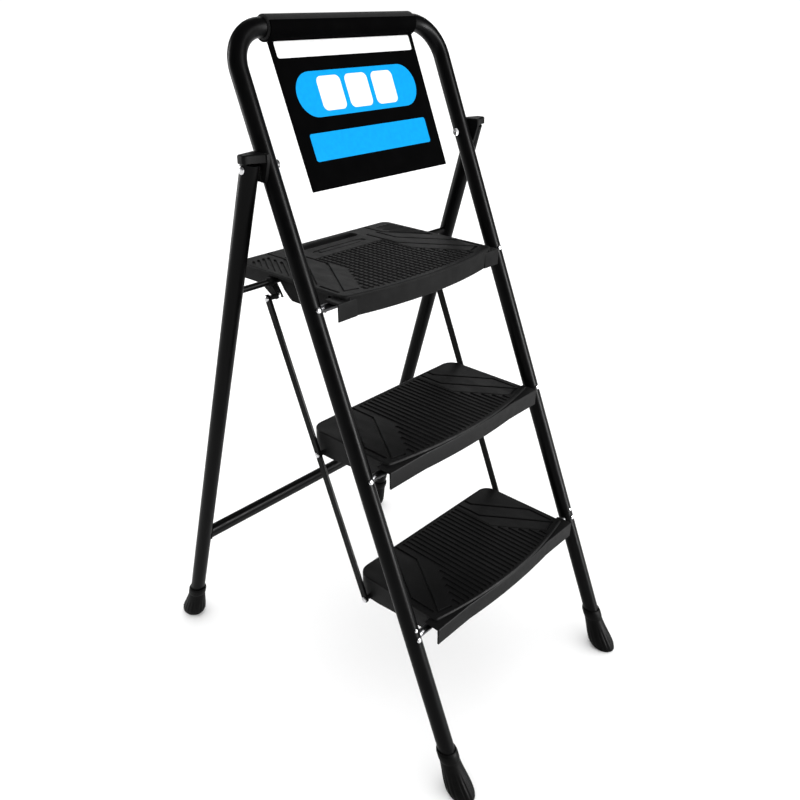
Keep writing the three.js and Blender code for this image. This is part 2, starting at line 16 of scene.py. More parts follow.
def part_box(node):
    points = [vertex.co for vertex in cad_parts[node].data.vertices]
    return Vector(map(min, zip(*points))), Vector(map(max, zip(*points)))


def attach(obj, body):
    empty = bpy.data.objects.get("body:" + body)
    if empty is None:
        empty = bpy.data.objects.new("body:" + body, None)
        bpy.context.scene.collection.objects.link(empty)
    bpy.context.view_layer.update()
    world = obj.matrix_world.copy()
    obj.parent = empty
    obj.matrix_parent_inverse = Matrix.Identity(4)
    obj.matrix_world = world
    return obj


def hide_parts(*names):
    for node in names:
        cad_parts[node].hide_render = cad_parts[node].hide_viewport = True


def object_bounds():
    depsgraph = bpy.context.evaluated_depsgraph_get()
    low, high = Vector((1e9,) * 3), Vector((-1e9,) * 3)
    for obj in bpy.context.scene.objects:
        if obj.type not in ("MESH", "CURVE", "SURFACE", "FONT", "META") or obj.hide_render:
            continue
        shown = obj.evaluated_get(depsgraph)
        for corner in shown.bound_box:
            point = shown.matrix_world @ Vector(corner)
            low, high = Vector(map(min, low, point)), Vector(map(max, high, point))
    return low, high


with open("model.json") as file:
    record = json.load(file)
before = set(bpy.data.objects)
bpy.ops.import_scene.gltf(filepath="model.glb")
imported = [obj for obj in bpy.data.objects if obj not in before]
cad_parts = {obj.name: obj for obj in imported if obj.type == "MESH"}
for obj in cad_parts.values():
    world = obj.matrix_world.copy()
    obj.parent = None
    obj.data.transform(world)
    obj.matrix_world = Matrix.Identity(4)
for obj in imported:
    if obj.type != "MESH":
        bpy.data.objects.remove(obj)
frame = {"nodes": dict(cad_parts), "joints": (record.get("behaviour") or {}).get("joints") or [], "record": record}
cad_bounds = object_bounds()

SIDES = (("left", -1), ("right", 1))
X_AXIS, Y_AXIS, Z_AXIS = Vector((1, 0, 0)), Vector((0, 1, 0)), Vector((0, 0, 1))

# ---------------- sizes

GAP = 0.0003                # clearance between touching pieces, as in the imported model
ROD_END = 0.005             # each rod runs this far past the rail's axis
TUBE_RADIUS = 0.0135
TUBE_WALL = 0.0012
TOP_BEND = 0.058
RAIL_START = 0.022          # the tubes begin this far up inside their feet
FAR = 0.3                   # past any side of a tread
OVERLAP = 0.0005            # how far a tread's ribs and walls reach into its plate

TREAD = dict(
    half=0.181, corner=0.024, ear_front=0.028, ear_back=0.002, bow_half=0.112,
    plate=0.0035, wall=0.003, front_drop=0.033, rear_drop=0.043, rib_drop=0.024,
    ear_drop=0.0035, edge=0.0022, channel_low=-0.012,
    lip_front=0.0329, lip_reach=0.172, lip_sagitta=0.0186, lip_corner=0.006,
    field_rear=0.006, field_half=0.0765, field_bend=0.090, field_wide=0.132, field_end=0.172,
    field_margin=0.0095, groove=0.0066, lattice=False,
)
PLATFORM = TREAD | dict(
    half=0.176, corner=0.015,
    front_drop=0.034, rear_drop=0.024, rib_drop=0.022, ear_drop=0.0062, channel_low=-0.009,
    lip_front=0.0456, lip_reach=0.170, lip_sagitta=0.0206, lip_corner=0.010,
    field_rear=0.087, field_half=0.0765, field_bend=0.158, field_wide=0.130, field_end=0.245,
    field_margin=0.014, groove=0.0056, lattice=True,
    lip_deep=0.006, wall_inset=0.008, wall_drop=0.040,
    slot_half=0.074, slot_wide=0.022, slot_from_back=0.023,
    ear_start=0.154,
)
RIB = Sizes(pitch=0.0105, deep=0.0029, sunk=0.0007, chamfer=0.00045)
CROSS_GROOVE = 0.0034
LINE = Sizes(wide=0.0048, deep=0.0027, chamfer=0.0002)
HANDLE = Sizes(from_back=0.0605, recess_half=0.052, recess_wide=0.0165, recess_deep=0.0016, bar_half=0.042)
CHANNEL_HALF = 0.013        # half width of the space round a tread's front rod
LINK_BAR_WIDE = 0.0125
COLLAR = Sizes(gap=0.0015, long=0.010, bore=0.0052, radius=0.0070, soft=0.0008)
LINK_PIN_RADIUS = 0.003

# lines cut in the treads' tops: how far out from the middle, and how far forward of the rear edge
STEP_LINES = (
    ((0.0890, 0.006), (0.0890, 0.054), (0.1640, 0.167), (0.1400, 0.1735)),
    ((0.1075, 0.006), (0.1075, 0.020), (0.1685, 0.112), (0.1685, 0.160)),
)
PLATFORM_LINES = (
    ((0.0830, 0.045), (0.0830, 0.118), (0.1590, 0.236), (0.1360, 0.2435)),
    ((0.1070, 0.045), (0.1070, 0.094), (0.1660, 0.184)),
    ((0.1675, 0.196), (0.1675, 0.235)),
    ((0.1150, 0.006), (0.1150, 0.050), (0.1650, 0.128)),
)
SIDE_TICKS = Sizes(count=6, pitch=0.0166, first=0.0378, outer=0.1675, inner=0.129, slope=1.62, rear=0.0235)

# a foot's skin from the ground up, over the collar and down its socket: (height, radius)
FOOT_PROFILE = (
    (0.000, 0.0150), (0.0006, 0.0166), (0.002, 0.0181), (0.004, 0.0193), (0.007, 0.0203), (0.012, 0.0212),
    (0.018, 0.0211), (0.025, 0.0204), (0.032, 0.0194), (0.039, 0.0183), (0.046, 0.0173), (0.053, 0.0164),
    (0.059, 0.0160), (0.062, 0.0159), (0.0626, 0.0163), (0.0640, 0.0166), (0.0735, 0.0166), (0.0745, 0.0164),
    (0.0752, 0.0160), (0.0770, 0.0158), (0.0780, 0.0153), (0.0780, 0.0138), (0.0300, 0.0138),
)
FOOT = Sizes(flutes=18, flute_deep=0.0011, flute_low=0.006, flute_high=0.042, toe=0.005, stretch=0.16)

CROSS_BAR = Sizes(tall=0.027, deep=0.020, wall=0.0015)
WELD = Sizes(radius=0.0019, ripple=0.00025, sunk=0.0004, inboard=0.0006)
BRACKET = Sizes(soft=0.0032, cap_low=0.0085, pocket_room=0.0015, pocket_low=-0.03, pocket_high=0.0165)
RAIL_RIVET = Sizes(high=0.0026, shank=0.0024, deep=0.004)
RAIL_SCREW = Sizes(high=0.0016, shank=0.0016, deep=0.004)
HINGE_PIN = Sizes(radius=0.0062, shank=0.004, bore=0.0043, dome=0.0026)
GRIP = Sizes(radius=0.017, soft=0.0032)
BOARD = Sizes(thick=0.002, bevel=0.0006, clip_tail=0.004)

# printed shapes: half width, then top and bottom as shares of the board's height, then corner radius
PRINT_THICK = 0.00025
WHITE_BAR = (0.141, 0.012, 0.123, 0.004)
BLUE_PILL = (0.127, 0.218, 0.524, 0.05)
WHITE_BLOCK = (0.0235, 0.255, 0.487, 0.009)
BLUE_BAR = (0.126, 0.625, 0.812, 0.004)
BLOCKS = Sizes(count=3, pitch=0.0565, shift=-0.003)

WORLD_LIGHT = 0.10          # what the surround gives the ladder
SEEN_LIGHT = 1.05           # what the camera sees of it
CAMERA = Sizes(lens=35.4, sensor=36, place=(-0.9101, -0.8416, 1.1510), down=27.19, turned=47.235)
CEILING = Sizes(power=4.6, angle=150, tilt=20, turned=25)
GLOSS_LIGHTS = {
    "key_strip": Sizes(place=(1.45, -2.87, 1.3), wide=0.55, high=2.8, power=360),
    "back_softbox": Sizes(place=(2.6, 2.4, 2.9), wide=2.4, high=1.6, power=21),
    "rear_strip": Sizes(place=(-1.2, 2.9, 1.4), wide=0.6, high=2.6, power=70),
}

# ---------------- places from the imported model

joint_places = {joint["name"]: Vector(joint["pos_m"]) for joint in frame["joints"]}
rod_places = {
    "step_1": joint_places["step_1_lift"],
    "step_2": joint_places["step_2_lift"],
    "platform": joint_places["platform_lift"],
}
hinge_place = joint_places["rear_fold"]


def line_by_height(low, high):
    """The point at any height on the line through two points."""
    return lambda height: low.lerp(high, (height - low.z) / (high.z - low.z))


def on_side(point, side):
    return Vector((side * point.x, point.y, point.z))


def rod_end(node, place):
    return Vector((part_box(node)[1].x - ROD_END, place.y, place.z))


def rod_centre(node):
    low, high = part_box(node)
    return (low + high) / 2


def rod_radius(node):
    low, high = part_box(node)
    return (high.z - low.z) / 2


rail_axis = line_by_height(
    rod_end("step_rod_1", rod_places["step_1"]),
    rod_end("platform_rod", rod_places["platform"]),
)
rail_direction = (rail_axis(1) - rail_axis(0)).normalized()
rail_lean = atan2(rail_direction.y, rail_direction.z)
leg_half_at_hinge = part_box("hinge_pin_right")[1].x - HINGE_PIN.dome - GAP - TUBE_RADIUS
leg_axis = line_by_height(
    rod_end("rear_rod", rod_centre("rear_rod")),
    Vector((leg_half_at_hinge, hinge_place.y, hinge_place.z)),
)
leg_direction = (leg_axis(1) - leg_axis(0)).normalized()
grip_low, grip_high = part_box("handle_grip")
top_bar = (grip_low + grip_high) / 2

# ---------------- mesh helpers


def add_object(name, data):
    made = bpy.data.objects.new(name, data)
    bpy.context.scene.collection.objects.link(made)
    return made


def mesh_of(vertices, faces, name="piece"):
    mesh = bpy.data.meshes.new(name)
    mesh.from_pydata([tuple(v) for v in vertices], [], faces)
    mesh.validate()
    return mesh


def loft(rings, closed=False):
    """A skin over rings with equal point counts. It is capped at both ends unless it closes on itself."""
    count = len(rings[0])
    vertices = [point for ring in rings for point in ring]
    faces = []
    spans = len(rings) if closed else len(rings) - 1
    for i in range(spans):
        near, far = i * count, ((i + 1) % len(rings)) * count
        for j in range(count):
            k = (j + 1) % count
            faces.append((near + j, near + k, far + k, far + j))
    if not closed:
        faces.append(tuple(reversed(range(count))))
        faces.append(tuple(range((len(rings) - 1) * count, len(rings) * count)))
    return outward(mesh_of(vertices, faces))


def outward(mesh):
    """Turns a closed mesh's faces to point out."""
    volume = 0
    mesh.calc_loop_triangles()
    for triangle in mesh.loop_triangles:
        a, b, c = (mesh.vertices[i].co for i in triangle.vertices)
        volume += a.dot(b.cross(c))
    if volume < 0:
        mesh.flip_normals()
    return mesh


def merged(meshes):
    """Several closed meshes as one mesh of separate shells."""
    vertices, faces = [], []
    for mesh in meshes:
        start = len(vertices)
        vertices += [v.co.copy() for v in mesh.vertices]
        faces += [tuple(start + i for i in polygon.vertices) for polygon in mesh.polygons]
    return mesh_of(vertices, faces)


def boolean(base, steps):
    """base after each (operation, closed mesh) in turn: UNION, DIFFERENCE or INTERSECT."""
    holder = add_object("boolean_base", base)
    tools = []
    for operation, mesh in steps:
        tool = add_object("boolean_tool", mesh)
        tools.append(tool)
        modifier = holder.modifiers.new("step", "BOOLEAN")
        modifier.operation = operation
        modifier.solver = "MANIFOLD"
        modifier.object = tool
    bpy.context.view_layer.update()
    evaluated = holder.evaluated_get(bpy.context.evaluated_depsgraph_get())
    result = bpy.data.meshes.new_from_object(evaluated)
    for item in [holder, *tools]:
        bpy.data.objects.remove(item)
    return result


def joined(*meshes):
    return boolean(meshes[0], [("UNION", mesh) for mesh in meshes[1:]])


def cut(base, *meshes):
    return boolean(base, [("DIFFERENCE", mesh) for mesh in meshes])


def box(x0, x1, y0, y1, z0, z1):
    corners = [(x0, y0), (x1, y0), (x1, y1), (x0, y1)]
    return loft([flat_ring(corners, z) for z in (z0, z1)])


def kept(mesh, front, back, half=FAR):
    """The part of a closed mesh between two values of y, and within a half width."""
    return boolean(mesh, [("INTERSECT", box(-half, half, front, back, -FAR, FAR))])


def mirror_x(mesh):
    copy = mesh.copy()
    copy.transform(Matrix.Scale(-1, 4, X_AXIS))
    return outward(copy)


def lean(mesh, place, angle):
    """Leans a mesh drawn upright back by an angle, and puts it in its place."""
    mesh.transform(Matrix.Translation(place) @ Matrix.Rotation(-angle, 4, "X"))
    return mesh


def circle(centre, along, radius, count, start=None):
    """Points round a circle whose plane faces along."""
    across = (start or (X_AXIS if abs(along.x) < 0.9 else Y_AXIS)).copy()
    across = (across - along * across.dot(along)).normalized()
    up = along.cross(across)
    turns = [2 * pi * i / count for i in range(count)]
    return [centre + across * (radius * cos(t)) + up * (radius * sin(t)) for t in turns]


def lathe(profile, axis_start, axis, count=40):
    """A closed profile of (distance along the axis, radius) turned round the axis."""
    axis = axis.normalized()
    rings = [circle(axis_start + axis * along, axis, max(radius, 1e-5), count) for along, radius in profile]
    return loft(rings)


def headings(points):
    """The way a run of points heads at each of them."""
    last = len(points) - 1
    return [(points[min(i + 1, last)] - points[max(i - 1, 0)]).normalized() for i in range(last + 1)]


def pipe(points, radius, bore):
    """A round tube with an open bore along a smooth run of points, all in one plane that holds X."""
    middle = points[len(points) // 2]
    normal = (middle - points[0]).cross(points[-1] - points[0])
    flat = normal.normalized() if normal.length > 1e-6 else X_AXIS
    places = list(zip(points, headings(points)))
    outer = [circle(point, along, radius, 48, flat) for point, along in places]
    inner = [circle(point, along, bore, 48, flat) for point, along in reversed(places)]
    return loft(outer + inner, closed=True)


def mirrored(end, length, middle=()):
    """A profile of the given length from one end's points, with the same end the other way round."""
    return [*end, *middle, *((length - along, radius) for along, radius in reversed(end))]


def arc(centre, radius, start, end, count):
    """Points (x, y) on an arc, angles in degrees, both ends included."""
    turns = [radians(start + (end - start) * i / count) for i in range(count + 1)]
    return [(centre[0] + radius * cos(t), centre[1] + radius * sin(t)) for t in turns]


def flat_ring(outline, z):
    return [Vector((x, y, z)) for x, y in outline]


def layered(outline, levels, closed=False):
    """A skin over an outline drawn at (inset, height) levels."""
    return loft([flat_ring(outline(inset), z) for inset, z in levels], closed)


def rolled(edge, top, steps):
    """The (inset, height) levels that roll an upright side over into a flat top."""
    turns = [pi / 2 * i / steps for i in range(1, steps + 1)]
    return [(edge * (1 - cos(t)), top - edge * (1 - sin(t))) for t in turns]


def span(side, near, far):
    """The two ends, low then high, of a stretch across one side."""
    return sorted((side * near, side * far))


def side_plate(outline, x0, x1):
    """An outline of (y, z) pushed out along X."""
    return loft([[Vector((x, y, z)) for y, z in outline] for x in (x0, x1)])


def stroke(points, half_width):
    """The outline of a line of the given half width with round ends."""
    points = [Vector(point) for point in points]
    left, right = [], []
    for i, point in enumerate(points):
        before = (point - points[i - 1]).normalized() if i else (points[1] - point).normalized()
        after = (points[i + 1] - point).normalized() if i + 1 < len(points) else before
        normal = Vector((-before.y - after.y, before.x + after.x)).normalized()
        reach = half_width / normal.dot(Vector((-before.y, before.x)))
        left.append(point + normal * reach)
        right.append(point - normal * reach)

    def end(centre, direction):
        heading = degrees(atan2(direction.y, direction.x))
        return arc(centre, half_width, heading - 90, heading + 90, 4)[1:-1]

    tail = end(points[-1], points[-1] - points[-2])
    head = end(points[0], points[0] - points[1])
    return right + tail + left[::-1] + head


def groove(points, width, deep, chamfer, top):
    """A cutter for a groove with sloping walls and chamfered edges."""
    levels = (
        (width / 2 + chamfer * 2, top + chamfer),
        (width / 2, top - chamfer),
        (width / 2 - deep * 0.25, top - deep),
    )
    return layered(partial(stroke, points), levels)


# ---------------- materials


def material(name, build, *values, **named):
    made = bpy.data.materials.new(name)
    made.use_nodes = True
    tree = made.node_tree
    build(tree, tree.nodes["Principled BSDF"], *values, **named)
    return made


def put(item, **values):
    """Gives each named socket of a node a value or another node's output."""
    for name, value in values.items():
        socket = item.inputs[name.replace("_", " ")]
        if isinstance(value, bpy.types.NodeSocket):
            item.id_data.links.new(value, socket)
        else:
            socket.default_value = value


def node(tree, kind, **values):
    made = tree.nodes.new(kind)
    put(made, **values)
    return made


def coordinates(tree, kind):
    return node(tree, "ShaderNodeTexCoord").outputs[kind]


def object_noise(tree, scale, detail, roughness=0.5, stretch=None):
    """Noise in the object's own space. A stretch makes it run along one axis."""
    place = coordinates(tree, "Object")
    if stretch:
        place = node(tree, "ShaderNodeMapping", Vector=place, Scale=stretch).outputs["Vector"]
    noise = node(tree, "ShaderNodeTexNoise", Vector=place, Scale=scale, Detail=detail, Roughness=roughness)
    return noise.outputs["Fac"]


def spread(tree, value, low, high, from_low=0.3, from_high=0.7):
    """Maps a noise value to a range."""
    mapped = node(tree, "ShaderNodeMapRange", Value=value, To_Min=low, To_Max=high)
    put(mapped, From_Min=from_low, From_Max=from_high)
    return mapped.outputs["Result"]


def mottle(tree, shader, noise, first, second, *limits):
    """Colour that wanders between two shades with a noise."""
    mix = tree.nodes.new("ShaderNodeMix")
    mix.data_type = "RGBA"
    put(mix, A=(*first, 1), B=(*second, 1), Factor=spread(tree, noise, 0, 1, *limits))
    put(shader, Base_Color=mix.outputs["Result"])


def uneven_gloss(tree, shader, noise, low, high):
    put(shader, Roughness=spread(tree, noise, low, high))


def bump(tree, shader, *layers):
    """Bump from several (height, strength, distance) layers, one on the other."""
    normal = None
    for height, strength, distance in layers:
        layer = node(tree, "ShaderNodeBump", Height=height, Strength=strength, Distance=distance)
        if normal:
            put(layer, Normal=normal)
        normal = layer.outputs["Normal"]
    put(shader, Normal=normal)


def powder_coat(tree, shader, dark, light, rough):
    """Satin powder coat: a fine orange peel, a little dust and slow changes of gloss."""
    put(shader, Specular_IOR_Level=0.05)
    mottle(tree, shader, object_noise(tree, 9, 3), dark, light)
    uneven_gloss(tree, shader, object_noise(tree, 38, 4), rough - 0.05, rough + 0.07)
    bump(tree, shader, (object_noise(tree, 620, 2), 0.16, 0.0004))


def maths(tree, operation, *sources):
    made = tree.nodes.new("ShaderNodeMath")
    made.operation = operation
    for source, socket in zip(sources, made.inputs):
        tree.links.new(source, socket)
    return made.outputs["Value"]


def steepness(tree, at_side):
    """Zero on surfaces that face straight up, rising to at_side on upright ones."""
    parts = node(tree, "ShaderNodeSeparateXYZ", Vector=coordinates(tree, "Normal"))
    return spread(tree, maths(tree, "ABSOLUTE", parts.outputs["Z"]), at_side, 0, 0, 1)


def moulded_plastic(tree, shader, dark, light, rough, side_rough, specular=0.06):
    """Moulded plastic: a spark-eroded grain, coarser on the side walls, faint flow marks and scuffs."""
    put(shader, Specular_IOR_Level=specular)
    mottle(tree, shader, object_noise(tree, 14, 4, 0.6), dark, light)
    scuffs = object_noise(tree, 60, 5, 0.65, stretch=(1.0, 0.35, 1.0))
    level_rough = spread(tree, scuffs, rough - 0.07, rough + 0.08)
    put(shader, Roughness=maths(tree, "ADD", level_rough, steepness(tree, side_rough)))
    flow, grain = object_noise(tree, 55, 3), object_noise(tree, 1500, 2, 0.6)
    bump(tree, shader, (flow, 0.10, 0.0006), (grain, 0.35, 0.0002))


def matt_rubber(tree, shader, dark, light, rough):
    """Rubber with a dry bloom and a pebbled skin."""
    put(shader, Specular_IOR_Level=0.05)
    mottle(tree, shader, object_noise(tree, 70, 5, 0.65), dark, light, 0.35, 0.75)
    uneven_gloss(tree, shader, object_noise(tree, 45, 3), rough - 0.06, rough + 0.06)
    bump(tree, shader, (object_noise(tree, 900, 3, 0.6), 0.3, 0.0003))


def foam_skin(tree, shader, dark, light):
    """Closed-cell foam: a soft sheen over small cells."""
    put(shader, Roughness=0.78, Specular_IOR_Level=0.1, Sheen_Weight=0.03, Sheen_Roughness=0.5)
    mottle(tree, shader, object_noise(tree, 120, 4), dark, light)
    cells = node(tree, "ShaderNodeTexVoronoi", Vector=coordinates(tree, "Object"), Scale=1100)
    dents = object_noise(tree, 90, 3)
    bump(tree, shader, (dents, 0.25, 0.0008), (cells.outputs["Distance"], 0.4, 0.0003))


def zinc_plate(tree, shader, base, rough):
    """Bright zinc with drawing marks along X."""
    put(shader, Metallic=1.0)
    dull = tuple(0.8 * c for c in base)
    mottle(tree, shader, object_noise(tree, 35, 4), dull, base)
    marks = object_noise(tree, 900, 3, 0.6, stretch=(0.04, 1, 1))
    uneven_gloss(tree, shader, marks, rough - 0.08, rough + 0.1)
    bump(tree, shader, (marks, 0.12, 0.0001))


def printed_ink(tree, shader, colour, rough, specular=0.1):
    """Flat ink on sheet plastic, with the faintest mottle."""
    put(shader, Specular_IOR_Level=specular)
    paler = tuple(min(1.0, 1.12 * c) for c in colour)
    mottle(tree, shader, object_noise(tree, 150, 3), colour, paler)
    uneven_gloss(tree, shader, object_noise(tree, 40, 3), rough - 0.05, rough + 0.05)


def grey(level, blue=0.0001):
    """A grey with a little extra blue."""
    return level, level, level + blue


LOOKS = {
    "rail_steel": material("rail_powder_coat", powder_coat, grey(0.0010), grey(0.0016), 0.33),
    "bar_steel": material("bar_paint", powder_coat, grey(0.0012), grey(0.0022), 0.36),
    "step_plastic": material(
        "step_plastic", moulded_plastic, grey(0.0032), grey(0.0048), 0.42, side_rough=0.08, specular=0.08),
    "platform_plastic": material(
        "platform_plastic", moulded_plastic, grey(0.0050), grey(0.0075), 0.42, side_rough=0.3),
    "bracket_plastic": material(
        "bracket_plastic", moulded_plastic, grey(0.0020), grey(0.0030), 0.4, side_rough=0.1),
    "foot_rubber": material("foot_rubber", matt_rubber, grey(0.0010, 0), grey(0.0022, 0), 0.5),
    "grip_foam": material("grip_foam", foam_skin, grey(0.0055, 0.0002), grey(0.0090, 0.0002)),
    "rod_zinc": material("rod_zinc", zinc_plate, grey(0.17, 0.005), 0.36),
    "rivet_zinc": material("rivet_zinc", zinc_plate, grey(0.60, 0.01), 0.3),
    "board_plastic": material("board_black", printed_ink, grey(0.0004), 0.8, specular=0.01),
    "ink_white": material("ink_white", printed_ink, grey(0.80, 0), 0.5),
    "ink_blue": material("ink_blue", printed_ink, (0.0020, 0.285, 0.66), 0.5, specular=0.01),
}

for row in frame["record"]["subparts"]:
    cad = frame["nodes"][row["node"]]
    cad.data.materials.clear()
    cad.data.materials.append(LOOKS[row["material_slot"]])


def piece(name, mesh, body, slot, nodes=(), look=None, smooth=32):
    """Puts a finished mesh in the scene, on a body, with a slot's look, in place of CAD nodes."""
    mesh.name = name
    mesh.materials.clear()
    mesh.materials.append(LOOKS[look or slot])
    mesh.shade_smooth()
    mesh.set_sharp_from_angle(angle=radians(smooth))
    made = add_object(name, mesh)
    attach(made, body)
    if nodes:
        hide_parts(*nodes)
    return made


# ---------------- tubes and rods


def front_frame():
    """The bent tube: two rails and the top bar."""
    start = rail_axis(RAIL_START * rail_direction.z)
    bend_start = rail_axis(top_bar.z - TOP_BEND * rail_direction.z)
    centre = Vector((bend_start.x - TOP_BEND, bend_start.y, bend_start.z))
    upward = Vector((0, rail_direction.y, rail_direction.z)).normalized()
    straight_steps, bend_steps = 8, 20
    right = [start.lerp(bend_start, i / straight_steps) for i in range(straight_steps)]
    for i in range(bend_steps + 1):
        turn = pi / 2 * i / bend_steps
        right.append(centre + X_AXIS * (TOP_BEND * cos(turn)) + upward * (TOP_BEND * sin(turn)))
    left = [on_side(point, -1) for point in reversed(right)]
    mesh = pipe(right + left, TUBE_RADIUS, TUBE_RADIUS - TUBE_WALL)
    piece("front_rail_tube", mesh, "front", "rail_steel", ["front_frame"], smooth=50)


def rear_legs():
    for name, side in SIDES:
        node_name = f"rear_leg_{name}"
        start = leg_axis(RAIL_START * leg_direction.z)
        top = leg_axis(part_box(node_name)[1].z - TUBE_RADIUS * sqrt(1 - leg_direction.z ** 2))
        points = [on_side(start.lerp(top, i / 10), side) for i in range(11)]
        mesh = pipe(points, TUBE_RADIUS, TUBE_RADIUS - TUBE_WALL)
        piece(f"rear_leg_tube_{name}", mesh, "rear", "rail_steel", [node_name], smooth=50)


def rods():
    """The three tread rods and the rear rod, with chamfered ends."""
    kinds = {
        "step_rod_1": ("front", "rod_zinc"),
        "step_rod_2": ("front", "rod_zinc"),
        "platform_rod": ("front", "rod_zinc"),
        "rear_rod": ("rear", "bar_steel"),
    }
    for node_name, (body, slot) in kinds.items():
        low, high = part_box(node_name)
        radius, centre = rod_radius(node_name), rod_centre(node_name)
        length = high.x - low.x
        chamfer = radius * 0.15
        profile = mirrored([(0, 0), (0, radius - chamfer), (chamfer, radius)], length)
        mesh = lathe(profile, Vector((low.x, centre.y, centre.z)), X_AXIS)
        piece(f"{node_name}_turned", mesh, body, slot, [node_name])


def rod_collars():
    """Short plastic collars on the rear rod, just outside the platform's sides."""
    centre = rod_centre("rear_rod")
    start = PLATFORM["half"] + COLLAR.gap
    radius, soft = COLLAR.radius, COLLAR.soft
    profile = mirrored([(0, COLLAR.bore), (0, radius - soft), (soft, radius)], COLLAR.long)
    for name, side in SIDES:
        place = Vector((side * start, centre.y, centre.z))
        rings = [circle(place + X_AXIS * (side * along), X_AXIS, out, 32, Z_AXIS) for along, out in profile]
        piece(f"rod_collar_{name}", loft(rings, closed=True), "rear", "bracket_plastic")


def rivet(node_name, centre, outward_axis, size):
    """A domed head that stands out along an axis, with a shank behind it, in place of a CAD node."""
    low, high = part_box(node_name)
    head = (high.x - low.x) / 2
    rise, shank, deep = size.high, size.shank, size.deep
    profile = [(-deep, 0), (-deep, shank), (0, shank), (0, head * 0.97)]
    for i in range(9):
        turn = pi / 2 * i / 8
        profile.append((rise * (0.12 + 0.88 * sin(turn)), head * cos(turn)))
    mesh = lathe(profile, centre, outward_axis, 32)
    piece(f"{node_name}_dome", mesh, "front", "rivet_zinc", [node_name], smooth=45)


def rail_rivets():
    """Rivet heads and small screws on the rails' fronts."""
    facing = Vector((0, -rail_direction.z, rail_direction.y))
    screw_drop = 0.002

    def on_rail(height, side):
        return on_side(rail_axis(height), side) + facing * (TUBE_RADIUS + GAP)

    for name, side in SIDES:
        for index, place in enumerate(rod_places.values(), start=1):
            rivet(f"rod_rivet_{index}_{name}", on_rail(place.z, side), facing, RAIL_RIVET)
        screw = f"rail_screw_{name}"
        rivet(screw, on_rail(rod_centre(screw).z - screw_drop, side), facing, RAIL_SCREW)


def hinge_rivets():
    """One rivet each side, with a head inside the rail and one outside the rear leg."""
    radius, shank, dome = HINGE_PIN.radius, HINGE_PIN.shank, HINGE_PIN.dome
    turns = [pi / 2 * i / 8 for i in range(9)]
    for name, side in SIDES:
        node_name = f"hinge_pin_{name}"
        low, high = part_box(node_name)
        inner = high.x if side < 0 else low.x
        far = high.x - low.x - dome
        profile = [(dome * (1 - sin(t)), radius * cos(pi / 2 - t)) for t in turns]
        profile += [(dome, shank), (far, shank)]
        profile += [(far + dome * sin(t), radius * cos(t)) for t in turns]
        mesh = lathe(profile, Vector((inner, hinge_place.y, hinge_place.z)), X_AXIS * side, 36)
        piece(f"{node_name}_turned", mesh, "front", "rivet_zinc", [node_name], smooth=45)


# ---------------- grip and board


def foam_grip():
    """A foam sleeve with soft ends."""
    length = grip_high.x - grip_low.x
    radius, soft = GRIP.radius, GRIP.soft
    spans = 24
    middle = [(soft + (length - 2 * soft) * i / spans, radius) for i in range(1, spans)]
    end = [(0, TUBE_RADIUS + GAP), (0, radius - soft), *rolled(soft, radius, 8)]
    profile = mirrored(end, length, middle)
    start = Vector((grip_low.x, top_bar.y, top_bar.z))
    rings = [circle(start + X_AXIS * along, X_AXIS, out, 48) for along, out in profile]
    piece("foam_grip", loft(rings, closed=True), "front", "grip_foam", ["handle_grip"], smooth=60)


def board_sizes():
    """The board's half width, and how far below the top bar's axis it ends."""
    low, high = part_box("info_board")
    return high.x, (top_bar.z - low.z) / cos(rail_lean) - 0.0004


def info_board():
    """A thin board with a spring clip that hugs the lower half of the grip."""
    half, drop = board_sizes()
    inner = GRIP.radius + GAP
    outer = inner + BOARD.thick
    face, bevel = BOARD.thick / 2, BOARD.bevel
    sheet = [(-face, -outer - BOARD.clip_tail), (-face, -drop + 0.001), (-face + bevel, -drop)]
    outline = arc((0, 0), outer, -188, -94, 24)
    outline += sheet + [(-y, z) for y, z in reversed(sheet)]
    outline += arc((0, 0), outer, -86, 8, 24) + arc((0, 0), inner, 8, -188, 48)
    mesh = lean(side_plate(outline, -half, half), top_bar, rail_lean)
    piece("grip_board", mesh, "front", "board_plastic", ["info_board"], smooth=30)


def printed_block(name, shape, look, middle=0.0, lift=0.0):
    """A thin printed shape on the board's front, placed by its shares of the board's height."""
    drop = board_sizes()[1]
    board_top = -(GRIP.radius + GAP)
    half, upper, lower, corner = shape
    top = board_top - (drop + board_top) * upper
    bottom = board_top - (drop + board_top) * lower
    radius = min(corner, (top - bottom) / 2 - 1e-5)
    left, right = middle - half + radius, middle + half - radius
    outline = []
    for x, z, start in ((right, bottom + radius, -90), (right, top - radius, 0),
                        (left, top - radius, 90), (left, bottom + radius, 180)):
        outline += arc((x, z), radius, start, start + 90, 10)
    front = -BOARD.thick / 2 - lift
    rings = [[Vector((x, y, z)) for x, z in outline] for y in (front + PRINT_THICK, front - PRINT_THICK)]
    mesh = lean(loft(rings), top_bar, rail_lean)
    piece(name, mesh, "front", "board_plastic", look=look, smooth=20)


def board_print():
    """Plain bars and a pill in the places where the board carries its print."""
    printed_block("print_white_bar", WHITE_BAR, "ink_white")
    printed_block("print_blue_pill", BLUE_PILL, "ink_blue")
    for index in range(BLOCKS.count):
        middle = (index - 1) * BLOCKS.pitch + BLOCKS.shift
        name = f"print_white_block_{index + 1}"
        printed_block(name, WHITE_BLOCK, "ink_white", middle, lift=PRINT_THICK * 0.6)
    printed_block("print_blue_bar", BLUE_BAR, "ink_blue")


# ---------------- feet


